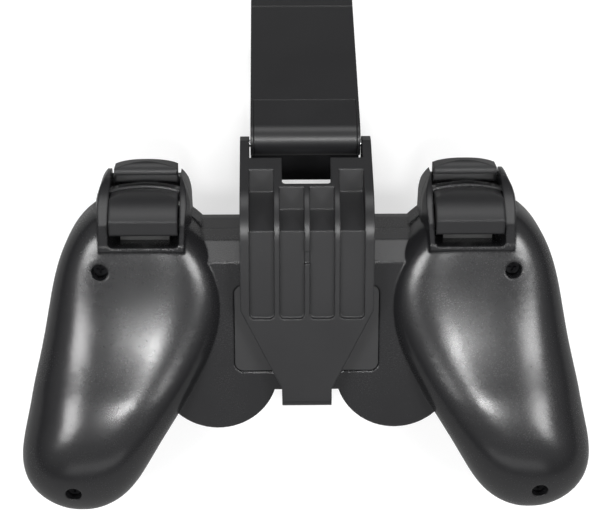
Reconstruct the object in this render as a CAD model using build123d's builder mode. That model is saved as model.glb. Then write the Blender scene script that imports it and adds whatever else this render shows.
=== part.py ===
from build123d import *
import math
import os

# The pad is modelled in its own frame: x to the right and y towards its top edge as seen from the back,
# z out of the back, with the flat back at z = 0. The player's left hand is at +x. At the end every
# piece is turned into the stance in which the object lies: face down on its two thumbsticks and on
# the upper jaw of the phone holder.

# Housing
wall = 2.0
face_z = -23.0
back_top_y = 20.0
back_low_y = -17.5
back_chamfer = 4.9
top_slope_run = 2.0
middle_half_width = 42.0
parting_z = -10.0
pod_parting_z = -12.5
grip_parting_rise = 10.0
fit = 0.05
gap = 0.4

# Grips: one section each, as y, inner x, outer x, front z, back z and how square it is
grip_sections = [
    (33.0, 38.5, 59.0, -21.5, -0.5, 3.0),
    (28.0, 31.0, 64.0, -22.8, 2.6, 3.4),
    (19.0, 24.6, 68.4, -23.0, 3.8, 3.6),
    (8.0, 22.2, 71.2, -23.0, 5.2, 3.3),
    (-5.0, 25.4, 73.8, -22.2, 8.2, 2.9),
    (-17.0, 31.6, 76.6, -20.4, 12.4, 2.6),
    (-27.0, 37.6, 78.7, -18.4, 14.6, 2.5),
    (-36.0, 43.0, 80.1, -16.0, 14.2, 2.5),
    (-43.5, 47.4, 78.8, -12.8, 11.4, 2.4),
    (-49.5, 52.8, 74.2, -8.4, 7.2, 2.3),
]
grip_end = (63.4, -53.4, -0.4)
pad_disc_x = 45.9
pad_disc_y = 10.2
pad_disc_radius = 23.5
pad_disc_rise = 0.8

# Thumbsticks
stick_x = 24.8
stick_y = -12.3
stick_housing_radius = 16.7
stick_pivot_z = -16.5
stick_reach = 24.5
stick_cap_radius = 9.5
stick_cap_height = 5.0
stick_dish_depth = 1.4
stick_dome_radius = 11.5
stick_dome_wall = 1.2
stick_dome_angle = 66.0
stick_neck_radius = 4.2
stick_shaft_radius = 1.8
stick_shaft_low = 4.7
stick_shaft_top = 17.0
module_half = 6.5
module_wall = 0.8
module_rise = 3.5
trunnion_radius = 1.0
rocker_half_width = 2.8
rocker_half_height = 1.6
yoke_inner_radius = 4.4
yoke_wall = 0.9
yoke_half_width = 3.0
seat_radius = 4.0
seat_wall = 0.9
seat_depth = 3.3
sensor_depth = 2.2
sensor_half_width = 3.0
sensor_half_height = 2.8

# Boards and cell
board_wall = 1.6
board_z = -8.0
cell_size = (34.0, 24.0, 5.0)
cell_y = 2.0
dome_height = 1.5
mat_wall = 1.0

# Buttons on the face
cluster_x = 45.0
cluster_y = 7.4
button_spread = 10.2
button_radius = 5.0
button_proud = 2.6
button_flange = 1.1
button_flange_step = 0.9
button_travel = 1.2
dpad_arm = 12.0
dpad_arm_width = 8.0
dpad_proud = 3.4
dpad_flange = 1.0
dpad_flange_drop = 1.5
dpad_flange_step = 1.6
dpad_socket_play = 0.1
dpad_ball_radius = 2.4
dpad_pivot_z = -18.0
dpad_dome_spread = 8.0
dpad_stem_radius = 1.8
dpad_post_radius = 1.4
dpad_dome_play = 1.1
menu_button_x = 10.5
menu_button_y = 5.0
menu_button_size = (8.0, 3.2)
lens_size = (14.0, 2.4)
home_button_y = -3.5
lens_y = 13.5
home_button_radius = 4.0

# Shoulder buttons and the pods that hold them
pod_x = 45.0
pod_width = 26.4
pod_back_z = 4.2
pod_draft = 2.0
pod_draft_z = -8.0
pod_floor_y = 25.4
pod_rim = 1.4
pod_low_y = 23.6
shoulder_x = 44.4
slot_width = 19.4
slot_corner = 1.5
bridge_low_z = -12.7
bridge_high_z = -9.3
bridge_inner_y = 36.9
bridge_crown_y = 39.4
bridge_end_y = 37.9
bumper_width = 17.5
bumper_back_z = -13.4
bumper_wall = 1.2
bumper_travel = 1.2
trigger_width = 18.6
trigger_wall = 1.7
trigger_pivot_y = 34.0
trigger_pivot_z = -9.2
trigger_pin_radius = 1.0
trigger_pin_hold = 1.2
trigger_hub_radius = 2.4

# Screws, as x, y, the z that the head sits on, and the length under the head
screw_places = [(56.5, 18.4, -1.6, 12.0), (65.2, -44.2, 5.0, 9.0)]
screw_hole_radius = 2.3
screw_head_radius = 2.0
screw_head_height = 1.5
screw_shank_radius = 1.1
screw_tube_radius = 3.8
screw_post_radius = 3.0

# Label recess on the back
label_size = (40.3, 25.4)
label_y = 0.6
label_corner = 2.5
label_depth = 0.8
label_plate = 0.6

# Bracket that clips round the pad
bracket_width = 36.5
bracket_side = 2.55
bracket_back_z = 6.0
bracket_gap = 0.3
bracket_bend_y = 28.0
bracket_bend_radius = 14.0
bracket_slope = 60.0
bracket_plate = 2.0
bracket_lip_wall = 2.0
bracket_lip_y = 20.0
pocket_floor = 1.5
pocket_depth = 1.2
pocket_slope_depth = 5.6
pocket_rib = 1.5
pocket_low_y = 5.5
pocket_corner = 1.3
rib_notch_y = 23.1
rib_notch_length = 3.4
outer_pocket_end_z = -8.0
inner_pocket_end_z = -2.2
taper_top_y = 7.9
taper_low_y = -15.2
hook_width = 13.7
hook_wall = 3.1
hook_lip_y = -13.0
window_width = 13.4
window_low_y = 41.4
window_corner = 1.0

# Hinge and phone holder. Its own frame has y along the arm and z out of the back of the arm.
pivot_y = 48.1
pivot_z = -21.5
arm_angle = 65.0
pin_radius = 1.0
ear_radius = 1.95
barrel_radius = 4.9
barrel_along = 1.0
barrel_back = 1.1
ear_gap = 0.375
arm_thickness = 7.9
leaf_margin = 0.925
leaf_end = 12.0
leaf_wall = 2.4
jaw_block = 9.4
holder_skin = 1.8
jaw_end = 67.0
jaw_wall = 3.0
jaw_reach = 13.3
jaw_lip = 2.4
jaw_lip_wall = 2.0
rail_width = 4.0
rail_height = 3.0
rail_x = 8.0
rail_hold = 10.0
spring_length = 5.6
spring_inset = 3.0
soft_wall = 0.8

# Values worked out from the ones above
top_y = back_top_y + back_chamfer + top_slope_run
board_front_z = board_z - board_wall
mat_front_z = board_front_z - mat_wall
dome_top_z = mat_front_z - dome_height
face_inside_z = face_z + wall
dpad_flange_z = face_inside_z + dpad_flange_drop
arm_width = bracket_width - 2 * (bracket_side + ear_gap)
leaf_width = arm_width - 2 * leaf_margin
trigger_pin_length = slot_width + 2 * trigger_pin_hold
pocket_width = (bracket_width - 2 * bracket_side - 3 * pocket_rib) / 4
holder_end = jaw_end - jaw_block
spring_start = leaf_end + spring_inset
rail_start = spring_start + spring_length
rail_length = holder_end + 1 - rail_start
jaw_travel = rail_length - rail_hold
arm_back = barrel_back + barrel_radius
arm_front = arm_back - arm_thickness
arm_middle = (arm_back + arm_front) / 2
axis_dip = math.radians(arm_angle)
arm_frame = Plane(
    origin=(0, pivot_y, pivot_z),
    x_dir=(1, 0, 0),
    z_dir=(0, math.sin(axis_dip), math.cos(axis_dip)),
)
pieces = []


def finish(part, name):
    """Name a finished piece and put it with the others."""
    part.label = name
    pieces.append(part)


def both_sides(part, name):
    """Keep a piece that was made for the player's left, and its mirror image for the right."""
    finish(part, f"left_{name}")
    finish(part.mirror(Plane.YZ), f"right_{name}")


# Outside of the pad


def superellipse(inner_x, outer_x, front_z, back_z, squareness, inset):
    """A closed outline with |x/a|^n + |z/b|^n = 1, where n is squareness, moved inwards by inset."""
    half_x, half_z = (outer_x - inner_x) / 2 - inset, (back_z - front_z) / 2 - inset
    centre_x, centre_z = (outer_x + inner_x) / 2, (back_z + front_z) / 2
    points = []
    for turn in range(0, 360, 15):
        across, up = math.cos(math.radians(turn)), math.sin(math.radians(turn))
        points.append(
            (
                centre_x + half_x * math.copysign(abs(across) ** (2 / squareness), across),
                centre_z + half_z * math.copysign(abs(up) ** (2 / squareness), up),
            )
        )
    return points


def grip_volume(inset):
    """One grip: a loft through rounded sections from the shoulder down to the tip."""
    sections = []
    for y, *outline in grip_sections:
        with BuildSketch(Plane.XZ.offset(-y)) as section:
            with BuildLine():
                Spline(*superellipse(*outline, inset), periodic=True)
            make_face()
        sections.append(section.sketch)
    end_x, end_y, end_z = grip_end
    with BuildPart() as grip:
        loft(sections=[*sections, Vertex(end_x, end_y + inset, end_z)])
        with BuildSketch(Plane.XY.offset(face_z - pad_disc_rise + inset)):
            with Locations((pad_disc_x, pad_disc_y)):
                Circle(pad_disc_radius - inset)
        extrude(amount=-parting_z - face_z / 2 - 12)
    return grip.part


def middle_volume(inset):
    """Half of the slab between the grips, with its sloping top side, and a round stick housing."""
    with BuildPart() as middle:
        with BuildSketch(Plane.YZ):
            with BuildLine():
                Polyline(
                    (back_low_y, 0),
                    (back_top_y, 0),
                    (back_top_y + back_chamfer, -back_chamfer),
                    (top_y, face_z + 3),
                    (top_y, face_z),
                    (back_low_y, face_z),
                    close=True,
                )
            make_face()
            if inset:
                offset(amount=-inset, kind=Kind.INTERSECTION)
        extrude(amount=middle_half_width)
        with BuildSketch(Plane.XY.offset(face_z + inset)):
            with Locations((stick_x, stick_y)):
                Circle(stick_housing_radius - inset)
        extrude(amount=-face_z - 2 * inset)
    return middle.part


def pod_plan(z, inset):
    """The outline of a shoulder button block seen square to the back, on the level z."""
    half = pod_width / 2 - inset
    with BuildSketch(Plane.XY.offset(z)) as plan:
        with BuildLine():
            Polyline(
                (pod_x - half + 0.2, 33),
                (pod_x - half, 28),
                (pod_x - half, 10),
                (pod_x + half, 10),
                (pod_x + half, 28),
                (pod_x + half - 0.2, 33),
            )
            Spline(
                (pod_x + half - 0.2, 33),
                (pod_x + half - 1.2, 38.5),
                (pod_x + half - 3.4, 42.0),
                (pod_x, 43.6),
                (pod_x - half + 3.4, 42.0),
                (pod_x - half + 1.2, 38.5),
                (pod_x - half + 0.2, 33),
            )
        make_face()
    return plan.sketch


def pod_volume():
    """The block behind one pair of shoulder buttons: its side view, trimmed to a drafted plan."""
    with BuildPart() as plan:
        loft(sections=[pod_plan(pod_draft_z, 0), pod_plan(pod_back_z + 2, pod_draft)], ruled=True)
        extrude(pod_plan(pod_draft_z, 0), amount=face_z - pod_draft_z - 5)
    with BuildPart() as pod:
        with BuildSketch(Plane.YZ.offset(pod_x)):
            with BuildLine():
                Polyline(
                    (pod_low_y - 4.5, -4),
                    (pod_low_y, pod_back_z - 1.2),
                    (pod_low_y + 0.9, pod_back_z),
                    (pod_floor_y + 0.6, pod_back_z),
                    (31.0, 1.4),
                )
                Spline((31.0, 1.4), (37.6, -5.6), (41.4, -13.0), (41.6, -19.5))
                Polyline((41.6, -19.5), (38.0, -22.4), (10, -22.4), (10, -4), (pod_low_y - 4.5, -4))
            make_face()
        extrude(amount=pod_width / 2, both=True)
        add(plan.part, mode=Mode.INTERSECT)
    return pod.part


# The left half of the pad, outside and inside. The right half is its mirror image.
with BuildPart() as outside:
    add(middle_volume(0))
    add(grip_volume(0))
    add(pod_volume())

with BuildPart() as inside:
    add(middle_volume(wall))
    add(grip_volume(wall))
    with BuildSketch(Plane.XY.offset(face_z - 2)):
        with Locations((pod_x + 4, pod_floor_y - pod_rim)):
            Rectangle(pod_width + 9, 30, align=(Align.CENTER, Align.MIN))
    extrude(amount=40, mode=Mode.SUBTRACT)

# Everything on the face side of the parting line, which climbs towards the ends of the grips
with BuildPart() as face_side:
    with BuildSketch(Plane.YZ):
        with BuildLine():
            Polyline(
                (60, pod_parting_z),
                (24, pod_parting_z),
                (22, parting_z),
                (-15, parting_z),
                (-60, parting_z + grip_parting_rise),
                (-60, -60),
                (60, -60),
                close=True,
            )
        make_face()
    extrude(amount=100, both=True)

above = (Align.CENTER, Align.CENTER, Align.MIN)
below = (Align.CENTER, Align.CENTER, Align.MAX)

# The posts that the screws draw together, trimmed to the outside
with BuildPart() as posts:
    for x, y, seat_z, length in screw_places:
        with Locations((x, y, seat_z - 3.0)):
            Cylinder(screw_tube_radius, 30, align=above)
            Cylinder(screw_post_radius, 30, align=below)
    add(outside.part, mode=Mode.INTERSECT)

# The hollow left half, without the room for the shoulder buttons, which is open to the top and to
# the back, and without the counterbored way of each screw
with BuildPart() as left_shell:
    add(outside.part)
    add(inside.part, mode=Mode.SUBTRACT)
    add(posts.part)
    with BuildSketch(Plane.XY.offset(-20.9)):
        with Locations((shoulder_x, pod_floor_y)):
            RectangleRounded(slot_width, 30, slot_corner, align=(Align.CENTER, Align.MIN))
    extrude(amount=40, mode=Mode.SUBTRACT)
    # The arched bridge between the bumper and the trigger
    with BuildSketch(Plane.XY.offset(bridge_low_z)):
        with BuildLine():
            reach = slot_width / 2 + 0.6
            ThreePointArc(
                (shoulder_x - reach, bridge_end_y),
                (shoulder_x, bridge_crown_y),
                (shoulder_x + reach, bridge_end_y),
            )
            Polyline(
                (shoulder_x + reach, bridge_end_y),
                (shoulder_x + reach, bridge_inner_y),
                (shoulder_x - reach, bridge_inner_y),
                (shoulder_x - reach, bridge_end_y),
            )
        make_face()
    extrude(amount=bridge_high_z - bridge_low_z)
    for x, y, seat_z, length in screw_places:
        with Locations((x, y, seat_z)):
            Cylinder(screw_hole_radius, 30, align=above, mode=Mode.SUBTRACT)
            Cylinder(screw_shank_radius + fit, length + 1, align=below, mode=Mode.SUBTRACT)
    with Locations(Plane((shoulder_x, trigger_pivot_y, trigger_pivot_z), z_dir=(1, 0, 0))):
        Cylinder(trigger_pin_radius + fit, trigger_pin_length + 2 * fit, mode=Mode.SUBTRACT)

with BuildPart() as socket_mouth:
    with BuildSketch(Plane.XY.offset(board_front_z + 0.4)):
        with Locations((0, top_y)):
            Rectangle(9.4, 12)
    extrude(amount=-3.9)


def around(x, y, spread):
    """Four places round a centre, one each way along x and y."""
    return [(x + spread, y), (x - spread, y), (x, y + spread), (x, y - spread)]


# Front housing

with BuildPart() as front_housing:
    add(left_shell.part)
    add(face_side.part, mode=Mode.INTERSECT)
    mirror(about=Plane.YZ)
    add(socket_mouth.part, mode=Mode.SUBTRACT)
    with BuildSketch(Plane.XY.offset(face_z - 5)):
        with Locations((stick_x, stick_y), (-stick_x, stick_y)):
            Circle(stick_dome_radius + 0.5)
        with Locations(*around(-cluster_x, cluster_y, button_spread)):
            Circle(button_radius + gap)
        with Locations((cluster_x, cluster_y)):
            Rectangle(2 * dpad_arm + 1.6, dpad_arm_width + 1.6)
            Rectangle(dpad_arm_width + 1.6, 2 * dpad_arm + 1.6)
        with Locations((menu_button_x, menu_button_y), (-menu_button_x, menu_button_y)):
            SlotOverall(menu_button_size[0] + 2 * gap, menu_button_size[1] + 2 * gap)
        with Locations((0, home_button_y)):
            Circle(home_button_radius + gap)
        with Locations((0, lens_y)):
            RectangleRounded(lens_size[0] + 2 * fit, lens_size[1] + 2 * fit, 1.0)
    extrude(amount=5 + wall + 2, mode=Mode.SUBTRACT)
finish(front_housing.part, "front_housing")

# Back housing, with the label recess and the posts that the circuit board rests on

with BuildPart() as back_housing:
    add(left_shell.part)
    add(face_side.part, mode=Mode.SUBTRACT)
    mirror(about=Plane.YZ)
    add(socket_mouth.part, mode=Mode.SUBTRACT)
    with BuildSketch(Plane.XY.offset(-wall)):
        with Locations((28, 18), (-28, 18), (21, -8), (-21, -8)):
            Circle(1.8)
    extrude(amount=board_z + wall)
    with BuildSketch(Plane.XY):
        with Locations((0, label_y)):
            RectangleRounded(*label_size, label_corner)
    extrude(amount=-label_depth, mode=Mode.SUBTRACT)
finish(back_housing.part, "back_housing")

# Bare plate in the label recess

with BuildPart() as label_inlay:
    with BuildSketch(Plane.XY.offset(-label_depth)):
        with Locations((0, label_y)):
            RectangleRounded(label_size[0] - gap, label_size[1] - gap, label_corner - gap / 2)
    extrude(amount=label_plate)
finish(label_inlay.part, "label_plate")

# Housing screws

with BuildPart() as housing_screws:
    for x, y, seat_z, length in screw_places:
        for side in (-1, 1):
            with Locations((side * x, y, seat_z)):
                Cylinder(screw_head_radius, screw_head_height, align=above)
                Cylinder(screw_shank_radius, length, align=below)
            with BuildSketch(Plane((side * x, y, seat_z + screw_head_height))):
                Rectangle(2.4, 0.6)
                Rectangle(0.6, 2.4)
            extrude(amount=-0.9, mode=Mode.SUBTRACT)
finish(housing_screws.part, "housing_screws")

# Circuit board, cell and charge socket

with BuildPart() as main_circuit_board:
    with BuildSketch(Plane.XY.offset(board_z)):
        with Locations((0, 4.0)):
            Rectangle(74, 38)
        with Locations((stick_x, stick_y), (-stick_x, stick_y)):
            Circle(stick_housing_radius - wall - 0.6)
        with Locations((pad_disc_x, pad_disc_y), (-pad_disc_x, pad_disc_y)):
            Circle(17.5)
        with Locations((0, 40)):
            Rectangle(200, 33.0, mode=Mode.SUBTRACT)
        for x, y, seat_z, length in screw_places:
            with Locations((x, y), (-x, y)):
                Circle(screw_tube_radius + gap, mode=Mode.SUBTRACT)
    extrude(amount=-board_wall)
finish(main_circuit_board.part, "main_circuit_board")

with BuildPart() as battery_cell:
    with BuildSketch(Plane.XY.offset(board_z + gap)):
        with Locations((0, cell_y)):
            RectangleRounded(cell_size[0], cell_size[1], 1.5)
    extrude(amount=cell_size[2])
finish(battery_cell.part, "battery_cell")

with BuildPart() as charge_socket:
    with BuildSketch(Plane.XZ.offset(-19.0)):
        with Locations((0, board_front_z - 1.6)):
            RectangleRounded(8.8, 3.2, 0.8)
    extrude(amount=-6.6)
    with BuildSketch(Plane.XZ.offset(-25.6)):
        with Locations((0, board_front_z - 1.6)):
            RectangleRounded(8.0, 2.4, 0.6)
    extrude(amount=5.5, mode=Mode.SUBTRACT)
    with BuildSketch(Plane.XZ.offset(-20.0)):
        with Locations((0, board_front_z - 1.6)):
            Rectangle(6.0, 0.8)
    extrude(amount=-4.6)
finish(charge_socket.part, "charge_socket")


def dome_mat(name, sheet, places, radius):
    """A rubber sheet on the board, with a hollow dome under each button."""
    with BuildPart() as mat:
        with BuildSketch(Plane.XY.offset(board_front_z)):
            with Locations(sheet[:2]):
                if len(sheet) == 3:
                    Circle(sheet[2])
                else:
                    Rectangle(sheet[2], sheet[3])
            for x, y, seat_z, length in screw_places:
                with Locations((x, y), (-x, y)):
                    Circle(screw_tube_radius + gap, mode=Mode.SUBTRACT)
        extrude(amount=-mat_wall)
        with BuildSketch(Plane.XY.offset(mat_front_z)):
            with Locations(*places):
                Circle(radius)
        extrude(amount=-dome_height, taper=25)
    finish(mat.part, name)


dome_mat(
    "dpad_dome_mat",
    (cluster_x, cluster_y, 11.0),
    around(cluster_x, cluster_y, dpad_dome_spread),
    2.6,
)
dome_mat(
    "face_dome_mat",
    (-cluster_x, cluster_y, 13.2),
    around(-cluster_x, cluster_y, button_spread),
    2.6,
)
dome_mat(
    "centre_dome_mat",
    (0, 2.0, 26.0, 17.0),
    [(menu_button_x, menu_button_y), (-menu_button_x, menu_button_y), (0, home_button_y)],
    2.2,
)

# Buttons on the face. Each has a flange behind the housing and a stem down to its dome.


def face_button(name, x, y, cap, flange, stem_radius):
    """A button that slides in: cap and flange are functions that draw their outlines."""
    with BuildPart() as button:
        with BuildSketch(Plane.XY.offset(face_inside_z + button_flange + gap)):
            with Locations((x, y)):
                flange()
        extrude(amount=-button_flange)
        with BuildSketch(Plane.XY.offset(face_inside_z + gap)):
            with Locations((x, y)):
                cap()
        extrude(amount=-(wall + gap + button_proud))
        fillet(button.faces().sort_by(Axis.Z)[0].edges(), 0.7)
        with BuildSketch(Plane.XY.offset(dome_top_z - button_travel - 0.3)):
            with Locations((x, y)):
                Circle(stem_radius)
        extrude(until=Until.NEXT, target=button.part, dir=(0, 0, -1))
    finish(button.part, name)


for name, x, y in [
    ("outer_face_button", -cluster_x - button_spread, cluster_y),
    ("inner_face_button", -cluster_x + button_spread, cluster_y),
    ("upper_face_button", -cluster_x, cluster_y + button_spread),
    ("lower_face_button", -cluster_x, cluster_y - button_spread),
]:
    face_button(
        name,
        x,
        y,
        lambda: Circle(button_radius),
        lambda: Circle(button_radius + button_flange_step),
        1.8,
    )

for name, x in [("select_button", menu_button_x), ("start_button", -menu_button_x)]:
    long, wide = menu_button_size
    face_button(
        name,
        x,
        menu_button_y,
        lambda: SlotOverall(long, wide),
        lambda: SlotOverall(long + 2.4, wide + 2.4),
        1.3,
    )
face_button(
    "home_button",
    0,
    home_button_y,
    lambda: Circle(home_button_radius),
    lambda: Circle(home_button_radius + 1.2),
    1.5,
)

with BuildPart() as indicator_lens:
    with BuildSketch(Plane.XY.offset(face_z)):
        with Locations((0, lens_y)):
            RectangleRounded(*lens_size, 0.95)
    extrude(amount=wall)
    with BuildSketch(Plane.XY.offset(face_inside_z)):
        with Locations((0, lens_y)):
            Rectangle(lens_size[0] + 2.0, lens_size[1] + 1.6)
    extrude(amount=0.8)
finish(indicator_lens.part, "indicator_lens")

# Direction pad. It rocks one way on its pivot, and the pivot rocks the other way on its post.

with BuildPart() as dpad:
    with BuildSketch(Plane.XY.offset(dpad_flange_z)):
        with Locations((cluster_x, cluster_y)):
            Rectangle(2 * dpad_arm, dpad_arm_width)
            Rectangle(dpad_arm_width, 2 * dpad_arm)
    extrude(amount=-(dpad_flange_drop + wall + pad_disc_rise + dpad_proud))
    fillet(dpad.faces().sort_by(Axis.Z)[0].edges(), 0.8)
    with BuildSketch(Plane.XY.offset(dpad_flange_z)):
        with Locations((cluster_x, cluster_y)):
            Rectangle(2 * (dpad_arm + dpad_flange_step), dpad_arm_width + 2 * dpad_flange_step)
            Rectangle(dpad_arm_width + 2 * dpad_flange_step, 2 * (dpad_arm + dpad_flange_step))
    extrude(amount=dpad_flange)
    with BuildSketch(Plane.XY.offset(dpad_flange_z + dpad_flange)):
        with Locations(*around(cluster_x, cluster_y, dpad_dome_spread)):
            Circle(dpad_stem_radius)
    extrude(amount=dome_top_z - dpad_dome_play - dpad_flange_z - dpad_flange)
    with Locations((cluster_x, cluster_y, dpad_pivot_z)):
        Sphere(dpad_ball_radius + dpad_socket_play, mode=Mode.SUBTRACT)
        Cylinder(dpad_post_radius + 0.5, 10, align=above, mode=Mode.SUBTRACT)
finish(dpad.part, "dpad")

with BuildPart() as dpad_pivot:
    with Locations((cluster_x, cluster_y, dpad_pivot_z)):
        Sphere(dpad_ball_radius)
        Cylinder(dpad_post_radius, mat_front_z - gap - dpad_pivot_z, align=above)
finish(dpad_pivot.part, "dpad_pivot")

# Thumbsticks, drawn about the point where their two axes cross, with z out of the face. A cap and
# shaft lean in a rocker, the rocker leans in the module frame, and the yoke follows the shaft.
module_low = -(board_front_z - stick_pivot_z)
stick_frames = [
    ("left", Plane((stick_x, stick_y, stick_pivot_z), x_dir=(1, 0, 0), z_dir=(0, 0, -1))),
    ("right", Plane((-stick_x, stick_y, stick_pivot_z), x_dir=(1, 0, 0), z_dir=(0, 0, -1))),
]


def both_sticks(part, name):
    """Put a copy of a piece at each thumbstick."""
    for side, frame in stick_frames:
        finish(part.moved(frame.location), f"{side}_stick_{name}")


with BuildPart() as module_frame:
    with BuildSketch(Plane.XY.offset(module_low)):
        Rectangle(2 * module_half, 2 * module_half)
    extrude(amount=module_rise - module_low)
    fillet(module_frame.edges().filter_by(Axis.Z), 1.5)
    with BuildSketch(Plane.XY.offset(module_low + module_wall)):
        RectangleRounded(2 * (module_half - module_wall), 2 * (module_half - module_wall), 0.8)
    extrude(amount=module_rise - module_low, mode=Mode.SUBTRACT)
    for bore in (Plane.XZ, Plane.YZ):
        with Locations(bore):
            Cylinder(trunnion_radius + fit, 4 * module_half, mode=Mode.SUBTRACT)
both_sticks(module_frame.part, "frame")

with BuildPart() as sensors:
    for turn in (0, 90):
        with BuildSketch(Plane.YZ.rotated((0, 0, turn)).offset(module_half)):
            Rectangle(2 * sensor_half_width, 2 * sensor_half_height)
            Circle(trunnion_radius + 0.1, mode=Mode.SUBTRACT)
        extrude(amount=sensor_depth)
both_sticks(sensors.part, "sensors")

shaft_slot = stick_shaft_radius + fit
rocker_end = module_half - module_wall - 0.3
with BuildPart() as rocker:
    with BuildSketch(Plane.XZ):
        RectangleRounded(2 * rocker_half_width, 2 * rocker_half_height, 0.6)
    extrude(amount=rocker_end, both=True)
    with Locations(Plane.XZ):
        Cylinder(trunnion_radius, 2 * module_half - 0.4)
    with BuildSketch(Plane.XY):
        Rectangle(2 * shaft_slot, 5.6)
    extrude(amount=4, both=True, mode=Mode.SUBTRACT)
both_sticks(rocker.part, "rocker")

yoke_radius = yoke_inner_radius + yoke_wall
with BuildPart() as yoke:
    with BuildSketch(Plane.XZ):
        Circle(yoke_radius)
        Circle(yoke_inner_radius, mode=Mode.SUBTRACT)
        with Locations((0, -yoke_radius)):
            Rectangle(3 * yoke_radius, 2 * yoke_radius, mode=Mode.SUBTRACT)
    extrude(amount=yoke_half_width, both=True)
    for side in (-1, 1):
        with Locations(Plane((side * yoke_inner_radius, 0, 0), z_dir=(side, 0, 0))):
            Cylinder(1.7, yoke_wall, align=above)
            Cylinder(trunnion_radius, module_half - yoke_inner_radius - 0.2, align=above)
    with BuildSketch(Plane.XY.offset(1.9)):
        SlotOverall(7.6, 2 * (stick_shaft_radius + 0.25))
    extrude(amount=5, mode=Mode.SUBTRACT)
both_sticks(yoke.part, "yoke")

with BuildPart() as spring_seat:
    with BuildSketch(Plane.XY.offset(-seat_depth)):
        Circle(seat_radius)
        Circle(shaft_slot, mode=Mode.SUBTRACT)
    extrude(amount=-seat_wall)
both_sticks(spring_seat.part, "spring_seat")

with BuildPart() as return_spring:
    with BuildSketch(Plane.XY.offset(-seat_depth)):
        Circle(3.3)
        Circle(2.3, mode=Mode.SUBTRACT)
    extrude(amount=seat_depth - rocker_half_height)
both_sticks(return_spring.part, "return_spring")

with BuildPart() as stick_shaft:
    with BuildSketch(Plane.XY.offset(-stick_shaft_low)):
        Circle(stick_shaft_radius)
    extrude(amount=stick_shaft_low + stick_shaft_top)
both_sticks(stick_shaft.part, "shaft")

# The cap is one revolved piece: a dished top, a neck, and the dome that closes the housing's hole
dome_inner = stick_dome_radius - stick_dome_wall
rim = math.radians(stick_dome_angle)
cap_low = stick_reach - stick_cap_height
dish_radius = stick_cap_radius - 1.5
dish_sphere = (dish_radius**2 + stick_dish_depth**2) / (2 * stick_dish_depth)
dish_turn = math.asin(dish_radius / dish_sphere)
with BuildPart() as stick_cap:
    with BuildSketch(Plane.XZ):
        with BuildLine():
            dome_low = (dome_inner * math.sin(rim), dome_inner * math.cos(rim))
            dome_rim = (stick_dome_radius * math.sin(rim), stick_dome_radius * math.cos(rim))
            neck = math.asin(stick_neck_radius / stick_dome_radius)
            dome_neck = (stick_neck_radius, stick_dome_radius * math.cos(neck))
            inner_top = (0, dome_inner)
            inside_middle = (dome_inner * math.sin(rim / 2), dome_inner * math.cos(rim / 2))
            between = (rim + neck) / 2
            outside_middle = (
                stick_dome_radius * math.sin(between),
                stick_dome_radius * math.cos(between),
            )
            ThreePointArc(inner_top, inside_middle, dome_low)
            Line(dome_low, dome_rim)
            ThreePointArc(dome_rim, outside_middle, dome_neck)
            Line(dome_neck, (stick_neck_radius, cap_low))
            Line((stick_neck_radius, cap_low), (stick_cap_radius - 1.2, cap_low))
            Line((stick_cap_radius - 1.2, cap_low), (stick_cap_radius, cap_low + 1.2))
            Line((stick_cap_radius, cap_low + 1.2), (stick_cap_radius, stick_reach - 1.4))
            ThreePointArc(
                (stick_cap_radius, stick_reach - 1.4),
                (stick_cap_radius - 0.45, stick_reach - 0.4),
                (dish_radius, stick_reach),
            )
            ThreePointArc(
                (dish_radius, stick_reach),
                (
                    dish_sphere * math.sin(dish_turn / 2),
                    stick_reach - stick_dish_depth + dish_sphere * (1 - math.cos(dish_turn / 2)),
                ),
                (0, stick_reach - stick_dish_depth),
            )
            Line((0, stick_reach - stick_dish_depth), inner_top)
        make_face()
    revolve(axis=Axis.Z)
    with Locations((0, 0, 0)):
        Cylinder(stick_shaft_radius + fit, stick_shaft_top, align=above, mode=Mode.SUBTRACT)
both_sticks(stick_cap.part, "cap")

# Shoulder buttons of the left side, and their mirror images

with BuildPart() as bumper:
    with BuildSketch(Plane.YZ.offset(shoulder_x)):
        with BuildLine():
            ThreePointArc((42.4, bumper_back_z), (44.8, -16.4), (43.4, -19.9))
            Polyline(
                (43.4, -19.9),
                (38.0, -19.9),
                (38.0, -17.4),
                (42.0 - bumper_wall, -17.4),
                (42.4 - bumper_wall, bumper_back_z),
                (42.4, bumper_back_z),
            )
        make_face()
    extrude(amount=bumper_width / 2, both=True)
    with BuildSketch(Plane.XY.offset(-40)):
        with BuildLine():
            half = bumper_width / 2
            ThreePointArc(
                (shoulder_x - half, 42.9), (shoulder_x, 44.6), (shoulder_x + half, 42.9)
            )
            Polyline(
                (shoulder_x + half, 42.9),
                (shoulder_x + half, 30),
                (shoulder_x - half, 30),
                (shoulder_x - half, 42.9),
            )
        make_face()
    extrude(amount=60, mode=Mode.INTERSECT)
    with BuildSketch(Plane.XZ.offset(-38)):
        with Locations((shoulder_x, -17.6)):
            Rectangle(6.0, 4.0)
    extrude(amount=5.6)
both_sides(bumper.part, "bumper")


def trigger_pull(inset):
    """Three points on the curved pull of a trigger, moved inwards by inset."""
    return [
        (38.6 - inset, -8.7 + 0.4 * inset),
        (37.4 - inset, -1.4 - 0.4 * inset),
        (32.8 - 0.4 * inset, 4.0 - inset),
    ]


def trigger_back(inset):
    """The lip at the end of a trigger and the line back to its hub, moved inwards by inset."""
    return [(28.6 + inset, 3.0 - inset), (32.2 + inset, -9.4)]


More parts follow.
